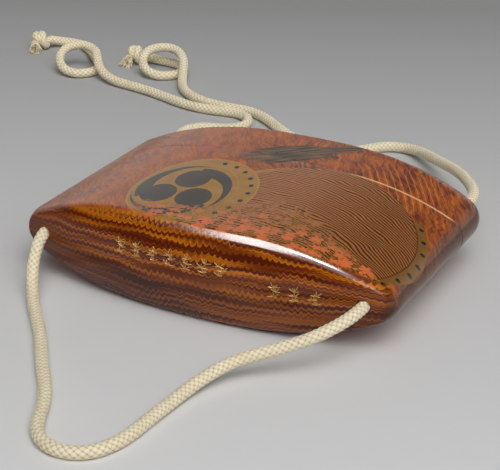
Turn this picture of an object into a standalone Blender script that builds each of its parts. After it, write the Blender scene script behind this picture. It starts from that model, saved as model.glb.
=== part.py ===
"""Lacquered inro case: a flat, lens-shaped box with a lift-off lid, and one braided cord through both sides.

The case lies on a broad face on the plane Z = 0. X runs along its width and Y from the near end to the lid.
The origin is under the middle of the case. All sizes are in metres.
"""
import bmesh
import bpy
import math
import numpy as np
from mathutils import Vector

# Outside of the case
CASE_WIDTH = 0.074
CASE_THICKNESS = 0.0178
SIDE_LENGTH = 0.0395
END_BULGE = 0.006
END_DOME = 0.0026
TIP_RADIUS = 0.0038
FLAT_HALF_WIDTH = 0.005
FACE_POWER = 2.6
CREASE_RADIUS = 0.0012

# Walls and the joint between body and lid
WALL = 0.0026
END_WALL = 0.0025
RISER_WALL = 0.0012
RISER_HEIGHT = 0.0055
JOINT_Y = 0.011
FIT_GAP = 0.0003
CAVITY_END_ROUND = 0.003

# Cord, its bores and its knots
CORD_DIAMETER = 0.0023
CORD_GAP = 0.0003
FLOOR_GAP = 0.00002
BORE_FROM_TIP = 0.0052
BORE_WALL = 0.0012
KNOT_RADIUS = 0.0026
KNOT_LENGTH = 0.0056
TUFT_LENGTH = 0.0030
TUFT_RADIUS = 0.0017

# Number of steps in the meshes
LENS_STEPS = 8
ARC_STEPS = 4
CREASE_STEPS = 4
CAP_ROWS = (0.55, 0.0, -0.55)
BORE_SIDES = 14
KNOT_RINGS = 14
KNOT_SIDES = 14

MID_Z = CASE_THICKNESS / 2
BORE_X = CASE_WIDTH / 2 - BORE_FROM_TIP
BORE_RADIUS = CORD_DIAMETER / 2 + CORD_GAP
CAVITY_HALF_WIDTH = BORE_X - BORE_RADIUS - BORE_WALL - RISER_WALL - FIT_GAP
RISER_INSET = WALL - RISER_WALL
SOCKET_INSET = RISER_INSET - FIT_GAP
LIE = CORD_DIAMETER / 2 + FLOOR_GAP

# The cord's route, from each bore's mouth outwards. LIE is its height where it lies on the floor.
TAIL_LEFT = [
    (-0.0318, 0.0242, 0.0088), (-0.0320, 0.0276, 0.0073), (-0.0325, 0.0309, 0.0044),
    (-0.0336, 0.0342, 0.0021), (-0.0358, 0.0384, LIE), (-0.0394, 0.0434, LIE),
    (-0.0430, 0.0480, LIE), (-0.0451, 0.0523, LIE), (-0.0449, 0.0565, LIE),
    (-0.0420, 0.0593, LIE), (-0.0381, 0.0606, LIE), (-0.0355, 0.0638, LIE),
    (-0.0362, 0.0688, LIE), (-0.0400, 0.0711, LIE), (-0.0446, 0.0708, LIE),
    (-0.0492, 0.0704, LIE), (-0.0540, 0.0710, LIE), (-0.0598, 0.0728, LIE),
    (-0.0664, 0.0750, LIE), (-0.0730, 0.0764, LIE), (-0.0782, 0.0774, 0.0015),
    (-0.0824, 0.0792, 0.0026), (-0.0856, 0.0826, 0.0040), (-0.0889, 0.0863, 0.0050),
    (-0.0928, 0.0869, 0.0055), (-0.0956, 0.0841, 0.0050), (-0.0953, 0.0802, 0.0035),
    (-0.0924, 0.0776, 0.0019), (-0.0885, 0.0779, LIE), (-0.0861, 0.0812, LIE),
    (-0.0869, 0.0856, LIE), (-0.0904, 0.0898, LIE), (-0.0944, 0.0940, LIE),
    (-0.0984, 0.0976, LIE), (-0.1024, 0.0992, LIE), (-0.1060, 0.0979, 0.0015),
    (-0.1082, 0.0953, 0.0023),
]
NEAR_LOOP = [
    (-0.0318, -0.0242, 0.0088), (-0.0312, -0.0275, 0.0073), (-0.0301, -0.0306, 0.0044),
    (-0.0284, -0.0334, 0.0021), (-0.0260, -0.0367, LIE), (-0.0226, -0.0409, LIE),
    (-0.0191, -0.0453, LIE), (-0.0159, -0.0497, LIE), (-0.0129, -0.0541, LIE),
    (-0.0102, -0.0577, LIE), (-0.0077, -0.0611, LIE), (-0.0056, -0.0646, LIE),
    (-0.0039, -0.0682, LIE), (-0.0022, -0.0717, LIE), (0.0006, -0.0748, LIE),
    (0.0044, -0.0761, LIE), (0.0081, -0.0750, LIE), (0.0106, -0.0716, LIE),
    (0.0117, -0.0670, LIE), (0.0120, -0.0622, LIE), (0.0123, -0.0577, LIE),
    (0.0128, -0.0532, 0.0014), (0.0136, -0.0493, 0.0019), (0.0149, -0.0457, 0.0026),
    (0.0170, -0.0423, 0.0035), (0.0202, -0.0397, 0.0045), (0.0234, -0.0372, 0.0054),
    (0.0264, -0.0350, 0.0064), (0.0292, -0.0319, 0.0076), (0.0312, -0.0280, 0.0086),
    (0.0318, -0.0240, 0.0089),
]
TAIL_RIGHT = [
    (0.0318, 0.0250, 0.0089), (0.0318, 0.0310, 0.0089), (0.0299, 0.0365, 0.0085),
    (0.0256, 0.0437, 0.0076), (0.0210, 0.0504, 0.0062), (0.0164, 0.0564, 0.0046),
    (0.0116, 0.0624, 0.0031), (0.0074, 0.0668, 0.0020), (0.0028, 0.0692, 0.0013),
    (-0.0018, 0.0676, LIE), (-0.0050, 0.0634, LIE), (-0.0094, 0.0604, LIE),
    (-0.0148, 0.0598, LIE), (-0.0200, 0.0618, LIE), (-0.0250, 0.0652, LIE),
    (-0.0298, 0.0690, LIE), (-0.0344, 0.0724, LIE), (-0.0394, 0.0740, LIE),
    (-0.0442, 0.0740, LIE), (-0.0490, 0.0744, LIE), (-0.0538, 0.0760, LIE),
    (-0.0578, 0.0786, LIE), (-0.0608, 0.0820, LIE), (-0.0632, 0.0862, 0.0020),
    (-0.0652, 0.0904, 0.0035), (-0.0678, 0.0940, 0.0048), (-0.0710, 0.0956, 0.0055),
    (-0.0742, 0.0948, 0.0056), (-0.0763, 0.0919, 0.0050), (-0.0759, 0.0886, 0.0035),
    (-0.0731, 0.0863, 0.0019), (-0.0693, 0.0867, LIE), (-0.0667, 0.0901, LIE),
    (-0.0675, 0.0942, LIE), (-0.0710, 0.0968, LIE), (-0.0748, 0.0974, LIE),
    (-0.0776, 0.0970, 0.0015), (-0.0794, 0.0963, 0.0022),
]
IN_BORE = 0.005
LONG_STEP = 3 * CORD_DIAMETER
SHORT_STEP = 2.1 * CORD_DIAMETER
TIGHT_RADIUS = 0.006

LACQUER = ((0.42, 0.13, 0.045), 0.16, 0.0)
BRAID = ((0.78, 0.72, 0.58), 0.85, 0.0)


def clear_scene():
    for old in list(bpy.data.objects):
        bpy.data.objects.remove(old, do_unlink=True)


def material(name, colour, roughness, metallic):
    made = bpy.data.materials.new(name)
    made.use_nodes = True
    shader = made.node_tree.nodes["Principled BSDF"]
    shader.inputs["Base Color"].default_value = (*colour, 1.0)
    shader.inputs["Roughness"].default_value = roughness
    shader.inputs["Metallic"].default_value = metallic
    return made


def new_object(name, data, look):
    made = bpy.data.objects.new(name, data)
    bpy.context.collection.objects.link(made)
    data.materials.append(material(name, *look))
    return made


def half_circle_steps(count):
    """Fractions from -1 to 1, closer together towards both ends."""
    return [math.sin(math.pi * (i / count - 0.5)) for i in range(count + 1)]


def outer_outline(steps=LENS_STEPS):
    """The top edge of the case's cross-section, from the left tip to the right one.

    Each point is x and a height above the case's middle. A low curve, flat in the middle, is pushed out by
    the tips' radius and closed by an arc at each tip.
    """
    rise = CASE_THICKNESS / 2 - TIP_RADIUS
    reach = CASE_WIDTH / 2 - TIP_RADIUS
    curve = []
    for i in range(steps + 1):
        along = math.sin(math.pi / 2 * i / steps)
        x = FLAT_HALF_WIDTH + along * (reach - FLAT_HALF_WIDTH)
        slope = rise * FACE_POWER * along ** (FACE_POWER - 1) / (reach - FLAT_HALF_WIDTH)
        normal = Vector((slope, 1.0)).normalized()
        curve.append((x + normal.x * TIP_RADIUS, rise * (1 - along**FACE_POWER) + normal.y * TIP_RADIUS))
    start = math.atan2(curve[-1][1], curve[-1][0] - reach)
    for i in range(1, ARC_STEPS + 1):
        angle = start * (1 - i / ARC_STEPS)
        curve.append((reach + TIP_RADIUS * math.cos(angle), TIP_RADIUS * math.sin(angle)))
    return [(-x, z) for x, z in reversed(curve)] + curve


def face_height(x):
    """How far the outside stands above the case's middle at x."""
    xs, zs = zip(*outer_outline(10 * LENS_STEPS))
    return float(np.interp(x, xs, zs))


def inset_outline(inset, half_width):
    """An outline inset below the faces, with rounded ends at half_width and the outer one's point count."""
    straight = half_width - CAVITY_END_ROUND
    fractions = half_circle_steps(2 * LENS_STEPS + 1)
    middle = [(f * straight, face_height(f * straight) - inset) for f in fractions]
    end_height = middle[-1][1]
    ends = []
    for i in range(1, ARC_STEPS + 1):
        angle = math.pi / 2 * i / ARC_STEPS
        ends.append((straight + CAVITY_END_ROUND * math.sin(angle), end_height * math.cos(angle)))
    return [(-x, z) for x, z in reversed(ends)] + middle + ends


def end_reach(x, height, domed=1.0):
    """How far an end stands from the middle of the length, at x and a height from mid-thickness."""
    bulge = END_BULGE * (1 - (x / (CASE_WIDTH / 2)) ** 2)
    dome = END_DOME * (1 - (height / MID_Z) ** 2)
    return SIDE_LENGTH / 2 + bulge + dome * domed


class Loft:
    """A closed mesh made of rings of equal count, capped at both ends by domed columns."""

    def __init__(self):
        self.mesh = bmesh.new()
        self.last = None

    def ring(self, outline, y_at):
        """Adds a ring of an outline and its mirror image below, and joins it to the ring before."""
        top = [self.mesh.verts.new((x, y_at(x, z), MID_Z + z)) for x, z in outline]
        low = [self.mesh.verts.new((x, y_at(x, -z), MID_Z - z)) for x, z in outline[-2:0:-1]]
        ring = top + low
        if self.last:
            for i, corner in enumerate(ring):
                before = i - 1
                self.mesh.faces.new((self.last[before], self.last[i], corner, ring[before]))
        self.last = ring
        return ring

    def cap(self, ring, outline, y_at):
        """Fills a ring with columns of faces between its top edge and its bottom edge."""
        count = len(outline)
        columns = [[ring[0]]]
        for i in range(1, count - 1):
            x, z = outline[i]
            inner = [self.mesh.verts.new((x, y_at(x, f * z), MID_Z + f * z)) for f in CAP_ROWS]
            columns.append([ring[i], *inner, ring[-i]])
        columns.append([ring[count - 1]])
        for left, right in zip(columns, columns[1:]):
            for row in range(len(CAP_ROWS) + 1):
                corners = [left[min(row, len(left) - 1)], left[min(row + 1, len(left) - 1)]]
                corners += [right[min(row + 1, len(right) - 1)], right[min(row, len(right) - 1)]]
                self.mesh.faces.new(tuple(dict.fromkeys(corners)))

    def finish(self, name):
        bmesh.ops.recalc_face_normals(self.mesh, faces=self.mesh.faces)
        data = bpy.data.meshes.new(name)
        self.mesh.to_mesh(data)
        self.mesh.free()
        return data


def shell(name, side, rim_y, fit_inset, fit_half_width, fit_y):
    """Half of the case as one hollow solid: side is -1 for the near end and +1 for the lid's end.

    Its rim lies at rim_y. From there the wall steps in by fit_inset, runs to fit_y and opens on the cavity.
    """
    outer = outer_outline()
    cavity = inset_outline(WALL, CAVITY_HALF_WIDTH)
    fit = inset_outline(fit_inset, fit_half_width)
    loft = Loft()

    for step in range(CREASE_STEPS + 1):
        turn = math.pi / 2 * (1 - step / CREASE_STEPS)
        inset = CREASE_RADIUS * (1 - math.cos(turn))
        rounded = [(x * (1 - inset / (CASE_WIDTH / 2)), z * (1 - inset / MID_Z)) for x, z in outer]

        def crease(x, z, turn=turn):
            return side * (end_reach(x, z, math.sin(turn)) - CREASE_RADIUS * (1 - math.sin(turn)))

        ring = loft.ring(rounded, crease)
        if step == 0:
            loft.cap(ring, rounded, crease)

    loft.ring(outer, lambda x, z: rim_y)
    loft.ring(fit, lambda x, z: rim_y)
    loft.ring(fit, lambda x, z: fit_y)
    loft.ring(cavity, lambda x, z: fit_y)

    def cavity_end(x, z):
        return side * (end_reach(x, z) - END_WALL)

    ring = loft.ring(cavity, cavity_end)
    loft.cap(ring, cavity, cavity_end)
    return new_object(name, loft.finish(name), LACQUER)


def bore_cutter(name, x):
    """A guide as long as the case, in line with the cord's bore along one side."""
    data = bpy.data.meshes.new(name)
    mesh = bmesh.new()
    length = SIDE_LENGTH + 2 * (END_BULGE + END_DOME)
    bmesh.ops.create_cone(
        mesh, cap_ends=True, segments=BORE_SIDES, radius1=BORE_RADIUS, radius2=BORE_RADIUS, depth=length
    )
    mesh.to_mesh(data)
    mesh.free()
    cutter = bpy.data.objects.new(name, data)
    bpy.context.collection.objects.link(cutter)
    cutter.location = (x, 0, MID_Z)
    cutter.rotation_euler = (math.pi / 2, 0, 0)
    cutter.hide_render = True
    cutter.display_type = "WIRE"
    return cutter


def cut(target, cutters):
    for cutter in cutters:
        modifier = target.modifiers.new("bore", "BOOLEAN")
        modifier.operation = "DIFFERENCE"
        modifier.solver = "EXACT"
        modifier.object = cutter


def smooth_curve(points, step):
    """Points a step apart along the natural cubic curve through the given ones."""
    p = np.array(points)
    gaps = np.linalg.norm(np.diff(p, axis=0), axis=1)
    knots = np.concatenate([[0.0], np.cumsum(gaps)])
    count = len(p)
    system = np.eye(count)
    pull = np.zeros((count, 3))
    for i in range(1, count - 1):
        system[i, i - 1 : i + 2] = gaps[i - 1], 2 * (gaps[i - 1] + gaps[i]), gaps[i]
        pull[i] = 6 * ((p[i + 1] - p[i]) / gaps[i] - (p[i] - p[i - 1]) / gaps[i - 1])
    bend = np.linalg.solve(system, pull)
    at = np.linspace(0.0, knots[-1], int(knots[-1] / step) + 2)
    k = np.clip(np.searchsorted(knots, at, side="right") - 1, 0, count - 2)
    gap = gaps[k][:, None]
    ahead = knots[k + 1][:, None] - at[:, None]
    behind = at[:, None] - knots[k][:, None]
    curve = bend[k] * ahead**3 / (6 * gap) + bend[k + 1] * behind**3 / (6 * gap)
    curve += (p[k] / gap - bend[k] * gap / 6) * ahead
    curve += (p[k + 1] / gap - bend[k + 1] * gap / 6) * behind
    curve[:, 2] = np.maximum(curve[:, 2], LIE)
    return curve


def tube_points(points):
    """A few points of the smooth curve: close together in its bends and further apart elsewhere."""
    fine = smooth_curve(points, CORD_DIAMETER / 10)
    ways = np.diff(fine, axis=0)
    lengths = np.linalg.norm(ways, axis=1)
    headings = ways / lengths[:, None]
    turns = np.linalg.norm(np.diff(headings, axis=0), axis=1) / lengths[1:]
    tightness = np.clip(np.concatenate([turns[:1], turns]) * TIGHT_RADIUS, 0.0, 1.0)
    per_length = 1 / LONG_STEP + (1 / SHORT_STEP - 1 / LONG_STEP) * tightness
    steps = np.concatenate([[0.0], np.cumsum(per_length * lengths)])
    wanted = np.linspace(0.0, steps[-1], round(steps[-1]) + 1)
    return fine[np.searchsorted(steps, wanted - 1e-9)]


def in_bore(side_x, side_y):
    """The point in a bore, a little inside its mouth, from which a stretch of cord runs out."""
    return side_x * BORE_X, side_y * (end_reach(BORE_X, 0.0) - IN_BORE), MID_Z


def cord():
    left = tube_points([in_bore(-1, 1), *TAIL_LEFT])
    loop = tube_points([in_bore(-1, -1), *NEAR_LOOP, in_bore(1, -1)])
    right = tube_points([in_bore(1, 1), *TAIL_RIGHT])
    route = np.concatenate([left[::-1], loop, right])
    data = bpy.data.curves.new("cord", "CURVE")
    data.dimensions = "3D"
    data.bevel_depth = CORD_DIAMETER / 2
    data.bevel_resolution = 2
    data.use_fill_caps = True
    spline = data.splines.new("POLY")
    spline.points.add(len(route) - 1)
    for point, place in zip(spline.points, route):
        point.co = (*place, 1.0)
    return new_object("cord", data, BRAID)


def knot(name, route):
    """An overhand knot with its frayed end, on the floor where a tail's route stops."""
    end = Vector(route[-1])
    heading = end - Vector(route[-2])
    heading.z = 0.0
    heading.normalize()
    across = Vector((-heading.y, heading.x, 0.0))
    start = end + heading * FIT_GAP
    mesh = bmesh.new()
    rings = []
    for i in range(KNOT_RINGS + 1):
        along = i / KNOT_RINGS * (KNOT_LENGTH + TUFT_LENGTH)
        rings.append([])
        for j in range(KNOT_SIDES):
            angle = 2 * math.pi * j / KNOT_SIDES
            radius = knot_radius(along, angle)
            place = start + heading * along + across * (radius * math.cos(angle))
            place.z = KNOT_RADIUS + radius * math.sin(angle)
            rings[-1].append(mesh.verts.new(place))
    for ring, following in zip(rings, rings[1:]):
        for j in range(KNOT_SIDES):
            mesh.faces.new((ring[j - 1], ring[j], following[j], following[j - 1]))
    mesh.faces.new(rings[0])
    mesh.faces.new(rings[-1])
    bmesh.ops.recalc_face_normals(mesh, faces=mesh.faces)
    data = bpy.data.meshes.new(name)
    mesh.to_mesh(data)
    mesh.free()
    return new_object(name, data, BRAID)


def knot_radius(along, angle):
    """Radius of the knot's outside: two turns of cord wrapped on a slant, then the flared tuft."""
    if along > KNOT_LENGTH:
        flare = (along - KNOT_LENGTH) / TUFT_LENGTH
        return CORD_DIAMETER / 2 + (TUFT_RADIUS - CORD_DIAMETER / 2) * flare
    swell = math.sin(math.pi * (0.12 + 0.76 * along / KNOT_LENGTH)) ** 0.6
    wrap = math.cos(2 * angle + 2 * math.pi * along / KNOT_LENGTH)
    return KNOT_RADIUS * swell * (0.93 + 0.07 * wrap)


def shade_smooth(target):
    if target.type == "MESH":
        target.data.shade_smooth()
        target.data.set_sharp_from_angle(angle=math.radians(40))


def build():
    clear_scene()
    riser_half_width = CAVITY_HALF_WIDTH + RISER_WALL
    body = shell(
        "case_body", -1, JOINT_Y - FIT_GAP / 2, RISER_INSET, riser_half_width, JOINT_Y + RISER_HEIGHT
    )
    lid = shell(
        "lid",
        1,
        JOINT_Y + FIT_GAP / 2,
        SOCKET_INSET,
        riser_half_width + FIT_GAP,
        JOINT_Y + RISER_HEIGHT + FIT_GAP,
    )
    cutters = [bore_cutter("bore_left", -BORE_X), bore_cutter("bore_right", BORE_X)]
    cut(body, cutters)
    cut(lid, cutters)
    cord()
    made = [body, lid, knot("knot_left", TAIL_LEFT), knot("knot_right", TAIL_RIGHT)]
    for piece in made:
        shade_smooth(piece)


build()
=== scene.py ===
"""Looks of the inro case: its lacquer and picture, the braided cord with its knots, and the studio.

Lengths are in metres, in the frame's own axes: X along the case's width, Y from the near end to the lid and
Z up, with the origin on the floor under the middle of the case.
"""
import bmesh
import bpy
import math
import numpy as np
from mathutils import Matrix, Vector


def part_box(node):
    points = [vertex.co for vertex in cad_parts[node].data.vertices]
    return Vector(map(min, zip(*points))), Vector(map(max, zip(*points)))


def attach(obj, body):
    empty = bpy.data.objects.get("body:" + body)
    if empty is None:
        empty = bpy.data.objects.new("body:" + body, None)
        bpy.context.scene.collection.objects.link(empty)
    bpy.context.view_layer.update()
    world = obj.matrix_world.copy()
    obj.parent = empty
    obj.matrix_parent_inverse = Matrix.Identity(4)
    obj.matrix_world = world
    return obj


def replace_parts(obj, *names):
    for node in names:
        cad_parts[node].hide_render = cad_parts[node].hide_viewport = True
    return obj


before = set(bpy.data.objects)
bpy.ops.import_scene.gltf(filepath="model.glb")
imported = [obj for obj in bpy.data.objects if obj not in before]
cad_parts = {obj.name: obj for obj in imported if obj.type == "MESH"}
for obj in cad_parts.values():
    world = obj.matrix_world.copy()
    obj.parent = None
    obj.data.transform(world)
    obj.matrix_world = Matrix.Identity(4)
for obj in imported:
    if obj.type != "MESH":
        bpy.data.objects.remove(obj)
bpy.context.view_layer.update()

# The case's form, as its solids have it
BODY_LOW, BODY_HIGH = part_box("case_body")
CASE_WIDTH = BODY_HIGH[0] - BODY_LOW[0]
CASE_THICKNESS = BODY_HIGH[2] - BODY_LOW[2]
SIDE_LENGTH = 0.0395
END_BULGE = 0.006
END_DOME = 0.0026
TIP_RADIUS = 0.0038
FLAT_HALF_WIDTH = 0.005
FACE_POWER = 2.6
CREASE_RADIUS = 0.0012
WALL = 0.0026
END_WALL = 0.0025
RISER_WALL = 0.0012
RISER_HEIGHT = 0.0055
JOINT_Y = 0.011
FIT_GAP = 0.0003
CAVITY_END_ROUND = 0.003
CORD_DIAMETER = 0.0023
CORD_GAP = 0.0003
FLOOR_GAP = 0.00002
BORE_FROM_TIP = 0.0052
BORE_WALL = 0.0012

MID_Z = CASE_THICKNESS / 2
BORE_X = CASE_WIDTH / 2 - BORE_FROM_TIP
BORE_RADIUS = CORD_DIAMETER / 2 + CORD_GAP
CAVITY_HALF_WIDTH = BORE_X - BORE_RADIUS - BORE_WALL - RISER_WALL - FIT_GAP
RISER_INSET = WALL - RISER_WALL
SOCKET_INSET = RISER_INSET - FIT_GAP
LIE = CORD_DIAMETER / 2 + FLOOR_GAP

# The rounding of the edges where body and lid meet, and the line that shows between them
JOINT_EDGE = 0.00003
JOINT_LINE = 0.00002

# The bores as they are drawn. The flare at each mouth starts MOUTH_DEPTH inside it and is FLARE_RUN as long.
SEEN_CORD_GAP = 0.00012
SEEN_BORE_RADIUS = CORD_DIAMETER / 2 + SEEN_CORD_GAP
MOUTH_FLARE = 0.0001
MOUTH_DEPTH = 0.0003
FLARE_RUN = 1.5

# Camera, as the photograph was taken
CAMERA_PLACE = (0.122994, -0.253982, 0.131340)
CAMERA_AZIMUTH = 26.083
CAMERA_ELEVATION = 23.929
CAMERA_ROLL = 1.238
CAMERA_LENS = 117.64

# The route of the cord's middle line: the tails from the far mouths outwards, and the loop from the left near
# mouth to the right one. LIE is its height where the cord lies on the floor.
TAIL_LEFT = [
    (-0.0318, 0.0242, 0.0088), (-0.0320, 0.0276, 0.0073), (-0.0325, 0.0309, 0.0044),
    (-0.0336, 0.0342, 0.0021), (-0.0358, 0.0384, LIE), (-0.0394, 0.0434, LIE),
    (-0.0430, 0.0480, LIE), (-0.0451, 0.0523, LIE), (-0.0449, 0.0565, LIE),
    (-0.0420, 0.0593, LIE), (-0.0381, 0.0606, LIE), (-0.0355, 0.0638, LIE),
    (-0.0362, 0.0688, LIE), (-0.0400, 0.0711, LIE), (-0.0446, 0.0708, LIE),
    (-0.0492, 0.0704, LIE), (-0.0540, 0.0710, LIE), (-0.0598, 0.0728, LIE),
    (-0.0664, 0.0750, LIE), (-0.0730, 0.0764, LIE), (-0.0782, 0.0774, 0.0015),
    (-0.0824, 0.0792, 0.0026), (-0.0856, 0.0826, 0.0040), (-0.0889, 0.0863, 0.0050),
    (-0.0928, 0.0869, 0.0055), (-0.0956, 0.0841, 0.0050), (-0.0953, 0.0802, 0.0035),
    (-0.0924, 0.0776, 0.0019), (-0.0885, 0.0779, LIE), (-0.0861, 0.0812, LIE),
    (-0.0869, 0.0856, LIE), (-0.0904, 0.0898, LIE), (-0.0944, 0.0940, LIE),
    (-0.0984, 0.0976, LIE), (-0.1024, 0.0992, LIE), (-0.1060, 0.0979, 0.0015),
    (-0.1082, 0.0953, 0.0023),
]
NEAR_LOOP = [
    (-0.0318, -0.0242, 0.0088), (-0.0312, -0.0275, 0.0073), (-0.0301, -0.0306, 0.0044),
    (-0.0284, -0.0334, 0.0021), (-0.0260, -0.0367, LIE), (-0.0226, -0.0409, LIE),
    (-0.0191, -0.0453, LIE), (-0.0159, -0.0497, LIE), (-0.0129, -0.0541, LIE),
    (-0.0102, -0.0577, LIE), (-0.0077, -0.0611, LIE), (-0.0056, -0.0646, LIE),
    (-0.0039, -0.0682, LIE), (-0.0022, -0.0717, LIE), (0.0006, -0.0748, LIE),
    (0.0044, -0.0761, LIE), (0.0081, -0.0750, LIE), (0.0106, -0.0716, LIE),
    (0.0117, -0.0670, LIE), (0.0120, -0.0622, LIE), (0.0123, -0.0577, LIE),
    (0.0128, -0.0532, 0.0014), (0.0136, -0.0493, 0.0019), (0.0149, -0.0457, 0.0026),
    (0.0170, -0.0423, 0.0035), (0.0202, -0.0397, 0.0045), (0.0234, -0.0372, 0.0054),
    (0.0264, -0.0350, 0.0064), (0.0292, -0.0319, 0.0076), (0.0312, -0.0280, 0.0086),
    (0.0318, -0.0240, 0.0089),
]
TAIL_RIGHT = [
    (0.0318, 0.0250, 0.0089), (0.0318, 0.0310, 0.0089), (0.0299, 0.0365, 0.0085),
    (0.0256, 0.0437, 0.0076), (0.0210, 0.0504, 0.0062), (0.0164, 0.0564, 0.0046),
    (0.0116, 0.0624, 0.0031), (0.0074, 0.0668, 0.0020), (0.0028, 0.0692, 0.0013),
    (-0.0018, 0.0676, LIE), (-0.0050, 0.0634, LIE), (-0.0094, 0.0604, LIE),
    (-0.0148, 0.0598, LIE), (-0.0200, 0.0618, LIE), (-0.0250, 0.0652, LIE),
    (-0.0298, 0.0690, LIE), (-0.0344, 0.0724, LIE), (-0.0394, 0.0740, LIE),
    (-0.0442, 0.0740, LIE), (-0.0490, 0.0744, LIE), (-0.0538, 0.0760, LIE),
    (-0.0578, 0.0786, LIE), (-0.0608, 0.0820, LIE), (-0.0632, 0.0862, 0.0020),
    (-0.0652, 0.0904, 0.0035), (-0.0678, 0.0940, 0.0048), (-0.0710, 0.0956, 0.0055),
    (-0.0742, 0.0948, 0.0056), (-0.0763, 0.0919, 0.0050), (-0.0759, 0.0886, 0.0035),
    (-0.0731, 0.0863, 0.0019), (-0.0693, 0.0867, LIE), (-0.0667, 0.0901, LIE),
    (-0.0675, 0.0942, LIE), (-0.0710, 0.0968, LIE), (-0.0748, 0.0974, LIE),
    (-0.0776, 0.0970, 0.0015), (-0.0794, 0.0963, 0.0022),
]

# The braid: plies that run each way round, the length of one crossing, and its mesh
BRAID_PLIES = 6
BRAID_STITCH = 0.00056
BRAID_RELIEF = 0.00020
BRAID_SIDES = 36
BRAID_STEP = 0.00013

# The yarn: pale on a ply's crown and painted shade between the plies, with soiled places and fine fibres
YARN_PALE = (0.97, 0.88, 0.66)
YARN_SHADE = (0.42, 0.31, 0.15)
YARN_SOIL = (0.74, 0.60, 0.36)
YARN_FIBRE = (0.50, 0.41, 0.26)
PLY_FIBRES = 5


def make_camera():
    a, e, r = (math.radians(v) for v in (CAMERA_AZIMUTH, CAMERA_ELEVATION, CAMERA_ROLL))
    back = Vector((math.sin(a) * math.cos(e), -math.cos(a) * math.cos(e), math.sin(e)))
    right = Vector((math.cos(a), math.sin(a), 0.0))
    up = back.cross(right)
    rolled_right = right * math.cos(r) + up * math.sin(r)
    rolled_up = up * math.cos(r) - right * math.sin(r)
    data = bpy.data.cameras.new("camera")
    data.lens = CAMERA_LENS
    camera = bpy.data.objects.new("camera", data)
    bpy.context.collection.objects.link(camera)
    turn = Matrix((rolled_right, rolled_up, back)).transposed().to_4x4()
    camera.matrix_world = Matrix.Translation(CAMERA_PLACE) @ turn
    bpy.context.scene.camera = camera


# Cord


def smooth_curve(points, step):
    """Points a step apart along the natural cubic curve through the given ones."""
    p = np.array(points)
    gaps = np.linalg.norm(np.diff(p, axis=0), axis=1)
    knots = np.concatenate([[0.0], np.cumsum(gaps)])
    count = len(p)
    system = np.eye(count)
    pull = np.zeros((count, 3))
    for i in range(1, count - 1):
        system[i, i - 1 : i + 2] = gaps[i - 1], 2 * (gaps[i - 1] + gaps[i]), gaps[i]
        pull[i] = 6 * ((p[i + 1] - p[i]) / gaps[i] - (p[i] - p[i - 1]) / gaps[i - 1])
    bend = np.linalg.solve(system, pull)
    at = np.linspace(0.0, knots[-1], int(knots[-1] / step) + 2)
    k = np.clip(np.searchsorted(knots, at, side="right") - 1, 0, count - 2)
    gap = gaps[k][:, None]
    ahead = knots[k + 1][:, None] - at[:, None]
    behind = at[:, None] - knots[k][:, None]
    curve = bend[k] * ahead**3 / (6 * gap) + bend[k + 1] * behind**3 / (6 * gap)
    curve += (p[k] / gap - bend[k] * gap / 6) * ahead
    curve += (p[k + 1] / gap - bend[k + 1] * gap / 6) * behind
    curve[:, 2] = np.maximum(curve[:, 2], LIE)
    return curve


def headings(path):
    """Unit directions along a path, one at each of its points."""
    ways = np.gradient(path, axis=0)
    return ways / np.linalg.norm(ways, axis=1)[:, None]


def sides_of(path):
    """Two unit directions across a path at each of its points, that turn with it and don't twist."""
    along = headings(path)
    first = np.cross(along[0], (0.0, 0.0, 1.0))
    if np.linalg.norm(first) < 0.1:
        first = np.cross(along[0], (1.0, 0.0, 0.0))
    across = [first / np.linalg.norm(first)]
    for way in along[1:]:
        kept = across[-1] - way * (across[-1] @ way)
        across.append(kept / np.linalg.norm(kept))
    across = np.array(across)
    return across, np.cross(along, across)


def braid_relief(turn, along):
    """The braid's surface at an angle in turns and a length along the cord.

    Gives its height, how near the middle of the upper ply it is, both 0 to 1, and the place across that ply.
    """
    a = BRAID_PLIES * turn + along / (2 * BRAID_STITCH)
    b = BRAID_PLIES * turn - along / (2 * BRAID_STITCH)
    ply_a, ply_b = np.floor(a), np.floor(b)
    crown_a = np.sqrt(np.clip(1 - (2 * (a - ply_a) - 1) ** 2, 0, 1))
    crown_b = np.sqrt(np.clip(1 - (2 * (b - ply_b) - 1) ** 2, 0, 1))
    high_a = 0.5 * crown_a + 0.5 * np.sin(np.pi * b) * (-1.0) ** ply_a
    high_b = 0.5 * crown_b - 0.5 * np.sin(np.pi * a) * (-1.0) ** ply_b
    over = high_a > high_b
    high = np.clip(np.maximum(high_a, high_b), 0.0, 1.0)
    return high, np.where(over, crown_a, crown_b), np.where(over, a, b)


def mesh_from(name, places, faces, numbers=None):
    """A mesh object with a list of places and faces, and named lists of one number for each place."""
    data = bpy.data.meshes.new(name)
    data.from_pydata([tuple(p) for p in places], [], faces)
    for label, values in (numbers or {}).items():
        layer = data.attributes.new(label, "FLOAT", "POINT")
        layer.data.foreach_set("value", np.asarray(values, dtype=np.float32))
    data.shade_smooth()
    made = bpy.data.objects.new(name, data)
    bpy.context.collection.objects.link(made)
    return made


def tube_faces(rings, sides):
    """Faces of a tube with closed ends, whose places lie ring after ring."""
    i, j = np.meshgrid(np.arange(rings - 1), np.arange(sides), indexing="ij")
    here, beside = i * sides + j, i * sides + (j + 1) % sides
    faces = np.stack([here, beside, beside + sides, here + sides], axis=-1).reshape(-1, 4).tolist()
    faces.append(list(range(sides))[::-1])
    faces.append(list(range((rings - 1) * sides, rings * sides)))
    return faces


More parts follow.
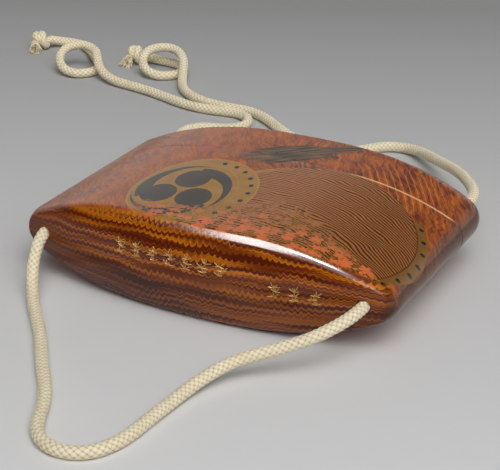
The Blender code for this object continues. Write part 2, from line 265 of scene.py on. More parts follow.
def braided_tube(name, path, diameter=CORD_DIAMETER):
    """A round braid along a path, as one closed mesh."""
    across, over = sides_of(path)
    along = np.concatenate([[0.0], np.cumsum(np.linalg.norm(np.diff(path, axis=0), axis=1))])
    turns = np.arange(BRAID_SIDES) / BRAID_SIDES
    high, crown, ply = braid_relief(turns[None, :], along[:, None])
    radius = diameter / 2 - BRAID_RELIEF * (1 - high)
    angle = 2 * np.pi * turns
    places = path[:, None, :] + radius[..., None] * (
        np.cos(angle)[None, :, None] * across[:, None, :] + np.sin(angle)[None, :, None] * over[:, None, :]
    )
    numbers = {"crown": crown.ravel(), "high": high.ravel(), "ply": ply.ravel()}
    return mesh_from(name, places.reshape(-1, 3), tube_faces(len(path), BRAID_SIDES), numbers)


def in_bore(side_x, y):
    return side_x * BORE_X, y, MID_Z


def end_reach(x, height, domed=1.0):
    """How far an end stands from the middle of the length, at x and a height from mid-thickness."""
    bulge = END_BULGE * (1 - (x / (CASE_WIDTH / 2)) ** 2)
    dome = END_DOME * (1 - (height / MID_Z) ** 2)
    return SIDE_LENGTH / 2 + bulge + dome * domed


# Distances from the middle of a bore's length, at which the cord's route has its points there
BORE_STOPS = (0.0, 0.008, 0.016)


def make_cord(name, points, side_x, side_y, last=()):
    """One stretch of the cord, from the middle of a bore's length out through its mouth."""
    route = [in_bore(side_x, side_y * y) for y in BORE_STOPS] + points + list(last)
    path = smooth_curve(route, BRAID_STEP)
    piece = braided_tube(name, path)
    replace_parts(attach(piece, "root"), "cord")
    return piece, path


# Knots


# The knot's points are given ahead of the route's end, aside and up, in units of KNOT_SIZE
KNOT_SIZE = 0.00105
KNOT_CORD = 0.0020
KNOT_SHAPE = (
    (-0.2, 0.0, 0.0), (1.2, 0.2, -0.35), (2.7, 0.9, 0.1), (3.6, 0.5, 1.15), (3.1, -0.7, 1.3),
    (1.9, -1.3, 0.5), (1.0, -1.0, -0.7), (1.0, 0.3, -1.3), (1.7, 1.35, -0.7), (2.1, 1.1, 0.8),
    (1.9, 0.0, 1.55), (2.4, -0.9, 0.7), (3.5, -0.6, -0.3), (4.1, 0.6, -0.5), (4.0, 1.8, -0.5),
)

# The loose yarn ends. Their foot, curl and droop are in radii of the knot's cord.
TUFT_WAY = Vector((0.30, -0.95, 0.0))
TUFT_PULL = 1.2
TUFT_LOOKBACK = 20
TUFT_LENGTH = 0.0026
TUFT_STRANDS = 70
TUFT_SPREAD = 0.0018
TUFT_FOOT = 0.75
TUFT_CURL = 0.12
TUFT_DROOP = 0.7
STRAND_RADIUS = 0.00011
STRAND_TIP = 0.4
STRAND_POINTS = 9
STRAND_SIDES = 5


def knot_path(route):
    """An overhand knot at a route's end: the cord goes round itself once and out through its own turn."""
    end = Vector(route[-1])
    heading = end - Vector(route[-2])
    heading.z = 0.0
    heading.normalize()
    across = Vector((-heading.y, heading.x, 0.0))
    places = []
    for ahead, aside, up in KNOT_SHAPE:
        place = end + heading * (ahead * KNOT_SIZE) + across * (aside * KNOT_SIZE)
        place.z = end.z + up * KNOT_SIZE
        places.append(tuple(place))
    return places


def make_knot(name, route, seed):
    path = smooth_curve(knot_path(route), BRAID_STEP)
    path[:, 2] = np.maximum(path[:, 2], KNOT_CORD / 2 + FLOOR_GAP)
    knot = braided_tube("tied_" + name, path, KNOT_CORD)
    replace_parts(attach(knot, "root"), name)
    heading = Vector(path[-1] - path[-TUFT_LOOKBACK])
    heading.z = 0.0
    heading = (heading.normalized() + TUFT_WAY * TUFT_PULL).normalized()
    across = Vector((-heading.y, heading.x, 0.0))
    tuft = make_tuft(name + "_tuft", Vector(path[-1]), heading, across, seed)
    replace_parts(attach(tuft, "root"), name)
    return [knot, tuft]


def make_tuft(name, start, heading, across, seed):
    """Loose yarn ends that spread from the cut end of the cord and droop to the floor."""
    chance = np.random.default_rng(seed)
    radius = KNOT_CORD / 2
    places, faces, relief = [], [], []
    for _ in range(TUFT_STRANDS):
        angle, spread = chance.uniform(0, 2 * np.pi), np.sqrt(chance.uniform(0, 1))
        side, rise = math.cos(angle) * spread, math.sin(angle) * spread
        reach = TUFT_LENGTH * chance.uniform(0.7, 1.05)
        curl = chance.normal(0, TUFT_CURL, 2)
        path = []
        for t in np.linspace(-0.2, 1.0, STRAND_POINTS):
            open_up = TUFT_FOOT + (TUFT_SPREAD / radius - TUFT_FOOT) * max(t, 0) ** 1.3
            off = across * ((side * open_up + curl[0] * t**2) * radius)
            place = start + heading * (reach * t) + off
            place.z += (rise * open_up + curl[1] * t**2 - TUFT_DROOP * max(t, 0) ** 2) * radius
            place.z = max(place.z, STRAND_RADIUS)
            path.append(tuple(place))
        path = np.array(path)
        one, two = sides_of(path)
        base = len(places)
        for i in range(STRAND_POINTS):
            thin = STRAND_RADIUS * (1.0 if i < STRAND_POINTS - 1 else STRAND_TIP)
            for k in range(STRAND_SIDES):
                turn = 2 * math.pi * k / STRAND_SIDES
                places.append(path[i] + thin * (math.cos(turn) * one[i] + math.sin(turn) * two[i]))
                # Painted shade: these numbers make one side of each strand a little darker in the braid's
                # colour
                relief.append(0.8 + 0.2 * math.cos(turn))
        faces += [[base + v for v in face] for face in tube_faces(STRAND_POINTS, STRAND_SIDES)]
    return mesh_from(name, places, faces, {"crown": relief, "high": relief, "ply": np.zeros(len(places))})


# Case


# Counts of steps: in the outline's curve, tips and flat strip, over the crease and the joint's edge, along the
# sides, over the end faces outside and inside, and round and along the bores' mouths
TOP_STEPS = 56
ARC_STEPS = 12
FLAT_STEPS = 12
CREASE_STEPS = 10
EDGE_STEPS = 4
SIDE_ROWS = 34
CAP_ROWS = 26
INNER_CAP_ROWS = 4
BORE_SIDES = 40
MOUTH_STEPS = 8

# How much closer together the outline's points are towards the tips
CROWDING = 0.35


def outer_outline():
    """The top edge of the case's cross-section, from the left tip to the right one."""
    rise = CASE_THICKNESS / 2 - TIP_RADIUS
    reach = CASE_WIDTH / 2 - TIP_RADIUS
    curve = []
    for i in range(TOP_STEPS + 1):
        along = math.sin(math.pi / 2 * i / TOP_STEPS) * CROWDING + i / TOP_STEPS * (1 - CROWDING)
        x = FLAT_HALF_WIDTH + along * (reach - FLAT_HALF_WIDTH)
        slope = rise * FACE_POWER * along ** (FACE_POWER - 1) / (reach - FLAT_HALF_WIDTH)
        normal = Vector((slope, 1.0)).normalized()
        curve.append((x + normal.x * TIP_RADIUS, rise * (1 - along**FACE_POWER) + normal.y * TIP_RADIUS))
    start = math.atan2(curve[-1][1], curve[-1][0] - reach)
    for i in range(1, ARC_STEPS + 1):
        angle = start * (1 - i / ARC_STEPS)
        curve.append((reach + TIP_RADIUS * math.cos(angle), TIP_RADIUS * math.sin(angle)))
    flat = [FLAT_HALF_WIDTH * (2 * k / FLAT_STEPS - 1) for k in range(1, FLAT_STEPS)]
    middle = [(x, CASE_THICKNESS / 2) for x in flat]
    return [(-x, z) for x, z in reversed(curve)] + middle + curve


OUTER = outer_outline()


def face_height(x):
    """How far the outside stands above the case's middle at x."""
    xs, zs = zip(*OUTER)
    return float(np.interp(x, xs, zs))


def inset_outline(inset, half_width):
    """An outline inset below the faces, with rounded ends at half_width and the outer one's point count."""
    straight = half_width - CAVITY_END_ROUND
    count = len(OUTER) - 2 * ARC_STEPS
    fractions = [2 * i / (count - 1) - 1 for i in range(count)]
    middle = [(f * straight, face_height(f * straight) - inset) for f in fractions]
    end_height = middle[-1][1]
    ends = []
    for i in range(1, ARC_STEPS + 1):
        angle = math.pi / 2 * i / ARC_STEPS
        ends.append((straight + CAVITY_END_ROUND * math.sin(angle), end_height * math.cos(angle)))
    return [(-x, z) for x, z in reversed(ends)] + middle + ends


def shrunk(outline, inset):
    return [(x * (1 - inset / (CASE_WIDTH / 2)), z * (1 - inset / MID_Z)) for x, z in outline]


class Loft:
    """A closed mesh of rings, with a number at each place that says how much of the end face it is."""

    def __init__(self):
        self.mesh = bmesh.new()
        self.ends = self.mesh.verts.layers.float.new("end")
        self.last = None
        self.inner = False

    def place(self, x, y, z, end):
        vert = self.mesh.verts.new((x, y, MID_Z + z))
        vert[self.ends] = end
        return vert

    def face(self, corners):
        made = self.mesh.faces.new(corners)
        made.material_index = 1 if self.inner else 0

    def ring(self, outline, y_at, end=0.0):
        top = [self.place(x, y_at(x, z), z, end) for x, z in outline]
        low = [self.place(x, y_at(x, -z), -z, end) for x, z in outline[-2:0:-1]]
        ring = top + low
        if self.last:
            for i, corner in enumerate(ring):
                self.face((self.last[i - 1], self.last[i], corner, ring[i - 1]))
        self.last = ring
        return ring

    def cap(self, ring, outline, y_at, rows, end=0.0):
        count = len(outline)
        columns = [[ring[0]]]
        for i in range(1, count - 1):
            x, z = outline[i]
            heights = [z * math.cos(math.pi * (k + 1) / (rows + 1)) for k in range(rows)]
            inner = [self.place(x, y_at(x, h), h, end) for h in heights]
            columns.append([ring[i], *inner, ring[-i]])
        columns.append([ring[count - 1]])
        for left, right in zip(columns, columns[1:]):
            for row in range(rows + 1):
                corners = [left[min(row, len(left) - 1)], left[min(row + 1, len(left) - 1)]]
                corners += [right[min(row + 1, len(right) - 1)], right[min(row, len(right) - 1)]]
                self.face(tuple(dict.fromkeys(corners)))

    def finish(self, name):
        bmesh.ops.recalc_face_normals(self.mesh, faces=self.mesh.faces)
        data = bpy.data.meshes.new(name)
        self.mesh.to_mesh(data)
        self.mesh.free()
        data.shade_smooth()
        made = bpy.data.objects.new(name, data)
        bpy.context.collection.objects.link(made)
        return made


def shell(name, side, fit_inset, fit_half_width, fit_y):
    """Half of the case as one hollow piece: side is -1 for the near end and +1 for the lid's end."""
    cavity = inset_outline(WALL, CAVITY_HALF_WIDTH)
    fit = inset_outline(fit_inset, fit_half_width)
    rim_y = JOINT_Y + side * JOINT_LINE / 2
    loft = Loft()

    for step in range(CREASE_STEPS + 1):
        turn = math.pi / 2 * (1 - step / CREASE_STEPS)
        rounded = shrunk(OUTER, CREASE_RADIUS * (1 - math.cos(turn)))

        def crease(x, z, turn=turn):
            return side * (end_reach(x, z, math.sin(turn)) - CREASE_RADIUS * (1 - math.sin(turn)))

        ring = loft.ring(rounded, crease, math.sin(turn))
        if step == 0:
            loft.cap(ring, rounded, crease, CAP_ROWS, 1.0)

    last_y = rim_y + side * JOINT_EDGE
    for row in range(1, SIDE_ROWS + 1):
        share = row / SIDE_ROWS

        def along(x, z, share=share):
            start = side * (end_reach(x, z, 0.0) - CREASE_RADIUS)
            return start + (last_y - start) * share

        loft.ring(OUTER, along)
    for step in range(1, EDGE_STEPS + 1):
        turn = math.pi / 2 * step / EDGE_STEPS
        rounded = shrunk(OUTER, JOINT_EDGE * (1 - math.cos(turn)))
        loft.ring(rounded, lambda x, z: last_y - side * JOINT_EDGE * math.sin(turn))

    loft.inner = True
    loft.ring(fit, lambda x, z: rim_y)
    loft.ring(fit, lambda x, z: fit_y)
    loft.ring(cavity, lambda x, z: fit_y)

    def cavity_end(x, z):
        return side * (end_reach(x, z) - END_WALL)

    ring = loft.ring(cavity, cavity_end)
    loft.cap(ring, cavity, cavity_end, INNER_CAP_ROWS)
    return loft.finish(name)


def bore_guide(side_x):
    """A rod along one bore that flares at both of the bore's mouths."""
    mouth = end_reach(BORE_X, 0.0)
    profile = [(SEEN_BORE_RADIUS, 0.0), (SEEN_BORE_RADIUS, mouth - MOUTH_DEPTH)]
    for step in range(1, MOUTH_STEPS + 1):
        share = step / MOUTH_STEPS
        radius = SEEN_BORE_RADIUS + MOUTH_FLARE * share**2
        profile.append((radius, mouth - MOUTH_DEPTH * (1 - FLARE_RUN * share)))
    profile.append((SEEN_BORE_RADIUS + MOUTH_FLARE, mouth + END_BULGE))
    whole = [(r, -y) for r, y in reversed(profile[1:])] + profile
    places = []
    for radius, y in whole:
        for k in range(BORE_SIDES):
            turn = 2 * math.pi * k / BORE_SIDES
            places.append((side_x * BORE_X + radius * math.cos(turn), y, MID_Z + radius * math.sin(turn)))
    guide = mesh_from("bore_guide", places, tube_faces(len(whole), BORE_SIDES))
    outward = bmesh.new()
    outward.from_mesh(guide.data)
    bmesh.ops.recalc_face_normals(outward, faces=outward.faces)
    outward.to_mesh(guide.data)
    outward.free()
    return guide


def cut_bores(target):
    guides = [bore_guide(-1), bore_guide(1)]
    for guide in guides:
        modifier = target.modifiers.new("bore", "BOOLEAN")
        modifier.operation = "DIFFERENCE"
        modifier.solver = "EXACT"
        modifier.object = guide
    bpy.context.view_layer.update()
    seen = target.evaluated_get(bpy.context.evaluated_depsgraph_get())
    data = bpy.data.meshes.new_from_object(seen)
    target.modifiers.clear()
    old = target.data
    target.data = data
    bpy.data.meshes.remove(old)
    for guide in guides:
        bpy.data.objects.remove(guide, do_unlink=True)


# Numbers that vary over a surface, written as sums of shader nodes


class Field:
    """A number that varies over a surface, held as the output of a shader node."""

    def __init__(self, socket):
        self.socket = socket

    def __add__(self, other):
        return combine("ADD", self, other)

    def __radd__(self, other):
        return combine("ADD", other, self)

    def __sub__(self, other):
        return combine("SUBTRACT", self, other)

    def __rsub__(self, other):
        return combine("SUBTRACT", other, self)

    def __mul__(self, other):
        return combine("MULTIPLY", self, other)

    def __rmul__(self, other):
        return combine("MULTIPLY", other, self)

    def __truediv__(self, other):
        return combine("DIVIDE", self, other)

    def __mod__(self, other):
        return combine("FLOORED_MODULO", self, other)

    def __pow__(self, other):
        return combine("POWER", self, other)

    def __neg__(self):
        return combine("MULTIPLY", self, -1.0)

    def __abs__(self):
        return combine("ABSOLUTE", self)


def feed(place, term):
    """Gives an input socket a field or a plain value."""
    if isinstance(term, Field):
        place.id_data.links.new(term.socket, place)
    else:
        place.default_value = term


def combine(operation, *terms, clamp=False):
    tree = next(term.socket.id_data for term in terms if isinstance(term, Field))
    node = tree.nodes.new("ShaderNodeMath")
    node.operation = operation
    node.use_clamp = clamp
    for place, term in zip(node.inputs, terms):
        feed(place, term)
    return Field(node.outputs[0])


def least(first, *others):
    for other in others:
        first = combine("MINIMUM", first, other)
    return first


def most(first, *others):
    for other in others:
        first = combine("MAXIMUM", first, other)
    return first


def root(value):
    return combine("SQRT", value)


def sine(value):
    return combine("SINE", value)


def cosine(value):
    return combine("COSINE", value)


def limited(value):
    return combine("ADD", value, 0.0, clamp=True)


def ramp(value, low, high):
    """0 below low, 1 above high and straight between them."""
    return limited((value - low) * (1 / (high - low)))


def within(distance, soft=0.00012):
    """1 where a distance is below zero and 0 where it is above, with a narrow soft edge."""
    return limited(0.5 - distance * (1 / soft))


def span(x, y):
    return root(x * x + y * y)


def zigzag(value):
    """A wave of straight slopes, from 0 to 1, one wave for each unit."""
    return abs(value % 1.0 - 0.5) * 2.0


class Paint:
    """One material's node tree, with the surface's own coordinates."""

    def __init__(self, name):
        self.material = bpy.data.materials.new(name)
        self.material.use_nodes = True
        self.tree = self.material.node_tree
        self.shader = self.tree.nodes["Principled BSDF"]
        place = self.tree.nodes.new("ShaderNodeTexCoord").outputs["Object"]
        split = self.tree.nodes.new("ShaderNodeSeparateXYZ")
        self.tree.links.new(place, split.inputs[0])
        self.x, self.y, self.z = (Field(out) for out in split.outputs)

    def attribute(self, name):
        node = self.tree.nodes.new("ShaderNodeAttribute")
        node.attribute_name = name
        return Field(node.outputs["Fac"])

    def point(self, x, y, z):
        node = self.tree.nodes.new("ShaderNodeCombineXYZ")
        for place, term in zip(node.inputs, (x, y, z)):
            feed(place, term)
        return Field(node.outputs[0])

    def noise(self, x, y, z, detail=2.0, roughness=0.5):
        """Soft noise, about 0.2 to 0.8, with features about one unit across."""
        node = self.tree.nodes.new("ShaderNodeTexNoise")
        feed(node.inputs["Vector"], self.point(x, y, z))
        node.inputs["Scale"].default_value = 1.0
        node.inputs["Detail"].default_value = detail
        node.inputs["Roughness"].default_value = roughness
        return Field(node.outputs[0])

    def cells(self, x, y, randomness=1.0):
        """Cells one unit across: the offset from each one's middle, and three numbers that differ by cell."""
        node = self.tree.nodes.new("ShaderNodeTexVoronoi")
        node.voronoi_dimensions = "2D"
        feed(node.inputs["Vector"], self.point(x, y, 0.0))
        node.inputs["Scale"].default_value = 1.0
        node.inputs["Randomness"].default_value = randomness
        middle = self.tree.nodes.new("ShaderNodeSeparateXYZ")
        self.tree.links.new(node.outputs["Position"], middle.inputs[0])
        chance = self.tree.nodes.new("ShaderNodeSeparateColor")
        self.tree.links.new(node.outputs["Color"], chance.inputs[0])
        offset = (x - Field(middle.outputs[0]), y - Field(middle.outputs[1]))
        return offset, [Field(out) for out in chance.outputs]

    def mix(self, share, under, over):
        node = self.tree.nodes.new("ShaderNodeMix")
        node.data_type = "RGBA"
        for place, term in zip((node.inputs[0], node.inputs[6], node.inputs[7]), (share, under, over)):
            if isinstance(term, Field):
                self.tree.links.new(term.socket, place)
            elif isinstance(term, tuple):
                place.default_value = (*term, 1.0)
            else:
                place.default_value = term
        return Field(node.outputs[2])

    def finish(self, colour, roughness, height=None, depth=0.0001, strength=0.5, **plain):
        """Gives the shader its colour, roughness and bump; the plain values go straight on its sockets."""
        self.tree.links.new(colour.socket, self.shader.inputs["Base Color"])
        feed(self.shader.inputs["Roughness"], roughness)
        if height is not None:
            bump = self.tree.nodes.new("ShaderNodeBump")
            bump.inputs["Strength"].default_value = strength
            bump.inputs["Distance"].default_value = depth
            feed(bump.inputs["Height"], height)
            self.tree.links.new(bump.outputs[0], self.shader.inputs["Normal"])
        for socket, value in plain.items():
            self.shader.inputs[socket.replace("_", " ")].default_value = value
        return self.material


# Lacquer


AMBER = (0.56, 0.165, 0.004)
RUSSET = (0.200, 0.038, 0.003)
OXBLOOD = (0.088, 0.0100, 0.001)
# Amber and dark tones for the lower part of the ends, painted darker there as painted shade
AMBER_LOW_SHADE = (0.33, 0.088, 0.010)
DARK_LOW_SHADE = (0.048, 0.009, 0.003)
# Painted shade for the left part of the ends
TIP_SHADE_BROWN = (0.130, 0.020, 0.003)
FACE_AMBER = (0.55, 0.130, 0.008)
FACE_DARK = (0.120, 0.016, 0.003)
FACE_DIM = (0.26, 0.055, 0.010)
DEEP_BROWN = (0.022, 0.006, 0.005)
# Painted shade for the case's right side
SIDE_SHADE_BROWN = (0.045, 0.016, 0.008)
INNER_BROWN = (0.045, 0.014, 0.008)
INNER_GOLD = (0.50, 0.29, 0.08)

# Sizes in the grain: the scallops and bands of the ends, and the teeth and streaks of the faces
SCALLOP_WIDTH = 0.00118
WIDE_BAND = 0.00098
FINE_BAND = 0.00038
TOOTH_LENGTH = 0.0021
STREAK_WIDTH = 0.00050


def end_height(paint):
    """Height on an end, from -1 to 1, along lines that close up towards both tips."""
    across = paint.x * (1 / (CASE_WIDTH / 2))
    return (paint.z - MID_Z) / (1.0 - across * across * 0.5) * (1 / MID_Z)


def band_grain(paint, height):
    """Scalloped level bands over the ends: 0 in the dark bands and 1 in the amber ones."""
    x, z = paint.x, paint.z
    scallop = abs(sine(x * (math.pi / SCALLOP_WIDTH) + paint.noise(x / 0.0055, z / 0.0080, 3.0) * 4.0))
    reach = ramp(paint.noise(x / 0.0045, z / 0.0022, 8.0, 1.0), 0.15, 0.70) * 0.0007
    sway = paint.noise(x / 0.011, z / 0.0080, 5.0, 1.0) * 0.0026
    fringe = paint.noise(x / 0.00040, z / 0.0030, 7.0, 1.0) * (ramp(height, 0.25, -0.5) * 0.0006 + 0.0004)
    level = height * MID_Z + scallop * reach + sway + fringe
    wide = paint.noise(x / 0.030, level / WIDE_BAND, 1.0, 1.0)
    fine = paint.noise(x / 0.018, level / FINE_BAND, 13.0, 1.0)
    # Painted light: the bands turn more amber along the top edge of each end
    lit_crest = ramp(height, 0.86, 0.99) * 0.25
    return ramp(wide * 0.58 + fine * 0.42, 0.36, 0.66) + lit_crest


def face_grain(paint):
    """Wavy streaks over the broad faces, mostly along the case."""
    x, y = paint.x, paint.y
    across, along = x * 0.9 + y * 0.44, y * 0.9 - x * 0.44
    tooth = zigzag(along / TOOTH_LENGTH + 2.5 * paint.noise(x / 0.005, y / 0.004, 1.0))
    warp = paint.noise(x / 0.0060, y / 0.0085, 2.0, 2.0)
    level = across + tooth * 0.00035 + warp * 0.0050
    streak = paint.noise(level / STREAK_WIDTH, along / 0.0050, 5.0, 2.0, 0.6)
    patch = paint.noise(x / 0.0042, y / 0.0060, 9.0, 3.0, 0.6)
    return ramp(streak * 0.62 + patch * 0.38, 0.40, 0.62)


def lacquer_colour(paint):
    height = end_height(paint)
    bands = band_grain(paint, height)
    # Painted shade: the ends darken and dull towards their bottom
    low = ramp(height, 0.50, -0.25)
    dark = paint.mix(low, OXBLOOD, DARK_LOW_SHADE)
    dark = paint.mix(ramp(bands, 0.18, 0.48), dark, paint.mix(low * 0.5, RUSSET, DARK_LOW_SHADE))
    ends = paint.mix(ramp(bands, 0.48, 0.80), dark, paint.mix(low, AMBER, AMBER_LOW_SHADE))
    # Painted shade: the ends darken towards the left tip
    ends = paint.mix(ramp(-paint.x, 0.012, 0.033) * 0.60, ends, TIP_SHADE_BROWN)
    faces = paint.mix(ramp(paint.x, 0.004, -0.018), FACE_DARK, FACE_DIM)
    faces = paint.mix(face_grain(paint), faces, FACE_AMBER)
    colour = paint.mix(ramp(paint.attribute("end"), 0.35, 0.75), faces, ends)
    # Painted shade: the right side darkens
    return paint.mix(ramp(paint.x, 0.0345, 0.0366) * 0.8, colour, SIDE_SHADE_BROWN)


# The picture on the upper face: a drum on its side with red leaves along its foot and a dark bird above


# An oval has its middle, its reach each way and its tilt, and a bar has its two ends and its radius at each
HEAD = ((-0.0079, -0.0105), (0.0113, 0.0157), math.radians(5.4))
EMBLEM = ((-0.0097, -0.0117), (0.0092, 0.0130), math.radians(6.0))
EMBLEM_START = math.radians(210)
STUD_RADIUS = 0.00046
STUD_RING = 0.885
STUD_COUNT = 23
DRUM = ((0.0139, -0.0115), (0.0210, 0.0222), 0.0)
BAND = ((0.0139, -0.0115), (0.0229, 0.0240), 0.0)
BAND_STUDS = ((0.0139, -0.0115), (0.02215, 0.0231), 0.0)
BAND_STUD_COUNT = 37
BIRD_BODY = ((-0.0004, 0.0138), (0.0092, 0.0044), math.radians(43))
BIRD_COMB = ((-0.0160, 0.0098), (0.0012, 0.0019), 0.0)
BIRD_NECK = ((-0.0045, 0.0100), (-0.0140, 0.0102), 0.0028, 0.0009)
BIRD_TAIL = ((0.0045, 0.0185), (0.0106, 0.0232), 0.0022, 0.0011)
PLUME_FAN = ((0.0235, 0.0125), (0.0085, 0.0085), 0.0)
WAVE_SPACING = 0.00076
PLUME_SPACING = 0.00142

# Each layer of leaves: the size of one leaf's cell, a shift of the pattern, and the share of cells filled
LEAF_LAYERS = ((0.0026, 0.0, 0.44), (0.0021, 0.013, 0.42), (0.0030, 0.031, 0.38))
LEAF_LOBES = 5

TAN = (0.43, 0.215, 0.042)
TAN_SHADE = (0.34, 0.155, 0.022)
SLATE = (0.055, 0.045, 0.034)
UMBER = (0.470, 0.162, 0.038)
UMBER_FAR = (0.250, 0.080, 0.012)
BAND_GOLD = (0.15, 0.063, 0.006)
STUD_BLACK = (0.012, 0.009, 0.006)
LINE_DARK = (0.055, 0.009, 0.001)
LINE_GOLD = (0.50, 0.26, 0.055)
LEAF_RED = (0.76, 0.175, 0.052)
LEAF_DULL = (0.57, 0.215, 0.058)
BIRD_GREY = (0.024, 0.015, 0.006)
BIRD_PALE = (0.190, 0.095, 0.034)
COMB_RED = (0.50, 0.07, 0.045)
PLUME_PALE = (0.74, 0.24, 0.075)
PLUME_DARK = (0.12, 0.018, 0.006)
# Colour of a painted highlight along the joint
SEAM_GLINT = (0.80, 0.42, 0.13)


def turned(x, y, place):
    """Coordinates that an oval's edge lies one unit out in, for an oval's middle, reach and tilt."""
    (middle_x, middle_y), (reach_x, reach_y), tilt = place
    dx, dy = x - middle_x, y - middle_y
    u = dx * (math.cos(tilt) / reach_x) + dy * (math.sin(tilt) / reach_x)
    v = dy * (math.cos(tilt) / reach_y) - dx * (math.sin(tilt) / reach_y)
    return u, v


def commas(x, y):
    """Distance to three commas that chase each other round an oval, below zero inside them."""
    third = 2 * math.pi / 3
    gap, tail_end, head_out, head_size = 0.055, math.radians(190), 0.43, 0.345
    u, v = turned(x, y, EMBLEM)
    out = span(u, v)
    behind = (EMBLEM_START - combine("ARCTAN2", v, u)) % third
    folded = (behind + third / 2) % third - third / 2

    def inner(turn):
        return 0.50 + 0.50 * sine(least(turn * (1 / tail_end), 1.0) * (math.pi / 2))

    near = most(inner(behind) - out, out - least(inner(behind + third) - gap, 1.0 - gap))
    far = most(inner(behind + third) - out, out - (1.0 - gap))
    head = root(out * out + head_out**2 - 2 * head_out * out * cosine(folded)) - head_size
    return least(near, far, head) * min(EMBLEM[1])


def stud_ring(x, y, place, out, count):
    """Distance to small round studs, evenly spaced round an oval at a share of its reach."""
    u, v = turned(x, y, place)
    turn = combine("ARCTAN2", v, u) * (count / (2 * math.pi))
    off = ((turn % 1.0) - 0.5) * (2 * math.pi / count * out)
    return span(off, span(u, v) - out) * min(place[1]) - STUD_RADIUS


def oval(x, y, place):
    u, v = turned(x, y, place)
    return (span(u, v) - 1.0) * min(place[1])


def bar(x, y, start, end, radius_start, radius_end):
    """Distance to a rounded bar that tapers from one point to another."""
    way = Vector(end) - Vector(start)
    share = limited(((x - start[0]) * way.x + (y - start[1]) * way.y) * (1 / way.length_squared))
    off = span(x - start[0] - share * way.x, y - start[1] - share * way.y)
    return off - (share * (radius_end - radius_start) + radius_start)


def paint_drum(paint, colour, on_face):
    x, y = paint.x, paint.y
    wobble = paint.noise(x / 0.0075, y / 0.0048, 4.0, 1.0) * 0.0030
    level = y + (x - 0.006) * (x - 0.006) * 11.0 + wobble
    wave = sine(level * (2 * math.pi / WAVE_SPACING))
    body = within(oval(x, y, DRUM)) * within(HEAD[0][0] - x) * on_face
    shade = paint.mix(ramp(x, 0.010, 0.028), UMBER, UMBER_FAR)
    lined = paint.mix(ramp(wave, 0.05, 0.75), shade, LINE_DARK)
    lined = paint.mix(ramp(wave, -0.65, -1.0) * ramp(x, -0.004, 0.022) * 0.55, lined, LINE_GOLD)
    colour = paint.mix(body * 0.95, colour, lined)
    lip = within(abs(oval(x, y, DRUM) + 0.0007) - 0.0007, 0.0006) * within(x - 0.002, 0.006)
    colour = paint.mix(lip * body * 0.7, colour, TAN)

    right_part = within(most(0.026 - x, y - 0.0030))
    ring = within(most(oval(x, y, BAND), -oval(x, y, DRUM))) * right_part * on_face
    gold = paint.mix(paint.noise(x / 0.0012, y / 0.0012, 2.0, 3.0) * 0.5, BAND_GOLD, TAN_SHADE)
    colour = paint.mix(ring, colour, gold)
    edge = within(abs(oval(x, y, DRUM)) - 0.00010) * right_part
    colour = paint.mix(edge * on_face * 0.8, colour, LINE_DARK)
    studs = within(stud_ring(x, y, BAND_STUDS, 1.0, BAND_STUD_COUNT)) * right_part
    colour = paint.mix(studs * on_face, colour, STUD_BLACK)

    head = oval(x, y, HEAD)
    hide = paint.mix(ramp(paint.noise(x / 0.004, y / 0.004, 8.0, 4.0), 0.3, 0.7), TAN, TAN_SHADE)
    colour = paint.mix(within(head) * on_face, colour, hide)
    colour = paint.mix(within(abs(head) - 0.00016) * on_face * 0.7, colour, LINE_GOLD)
    inner_rim = within(abs(oval(x, y, EMBLEM) - 0.0006) - 0.00010) * within(head)
    colour = paint.mix(inner_rim * on_face * 0.4, colour, LINE_GOLD)
    colour = paint.mix(within(commas(x, y)) * on_face, colour, SLATE)
    shown = within(most(-0.0106 - x, -0.0217 - y))
    studs = within(stud_ring(x, y, HEAD, STUD_RING, STUD_COUNT)) * shown
    return paint.mix(studs * on_face, colour, STUD_BLACK)


def paint_leaves(paint, colour, on_face):
    """Lobed leaves, thick along the near edge, among fine gold and dark grass."""
    x, y = paint.x, paint.y
    rise = (x - 0.0110) * (1 / 0.0115)
    top = -0.0200 + 0.0118 * combine("POWER", math.e, -(rise * rise))
    depth = y - top + (paint.noise(x / 0.003, y / 0.003, 11.0, 3.0) - 0.5) * 0.008
    ground = within(depth, 0.0015) * within(most(-0.012 - x, x - 0.0345), 0.008) * on_face
    from_edge = y + SIDE_LENGTH / 2 + END_BULGE - x * x * (END_BULGE / (CASE_WIDTH / 2) ** 2)
    grass = paint.noise((x + y * 0.4) / 0.0024, (y - x * 0.4) / 0.0008, 12.0, 1.0)
    colour = paint.mix(within(abs(grass - 0.53) - 0.018, 0.014) * ground * 0.7, colour, LINE_DARK)
    colour = paint.mix(within(abs(grass - 0.46) - 0.016, 0.012) * ground * 0.9, colour, LINE_GOLD)
    for scale, shift, share in LEAF_LAYERS:
        offset, chance = paint.cells((x + shift) * (1 / scale), (y + shift) * (1 / scale), 0.9)
        turn = combine("ARCTAN2", offset[1], offset[0]) + chance[0] * 6.28
        lobes = 0.19 + 0.28 * abs(cosine(turn * (LEAF_LOBES / 2))) ** 0.8
        out = span(*offset)
        there = ground * within(chance[1] - share, 0.02)
        colour = paint.mix(within((out - lobes) * scale - 0.00011) * there * 0.6, colour, LINE_DARK)
        red = ramp(from_edge + (chance[2] - 0.5) * 0.008, 0.0085, 0.0040)
        shade = paint.mix(red, LEAF_DULL, LEAF_RED)
        colour = paint.mix(within((out - lobes) * scale) * there * (red * 0.35 + 0.57), colour, shade)
        vein = within(abs(sine(turn * (LEAF_LOBES / 2))) * out * scale - 0.00006)
        colour = paint.mix(within((out - lobes) * scale) * there * vein * 0.6, colour, LINE_GOLD)
    return colour


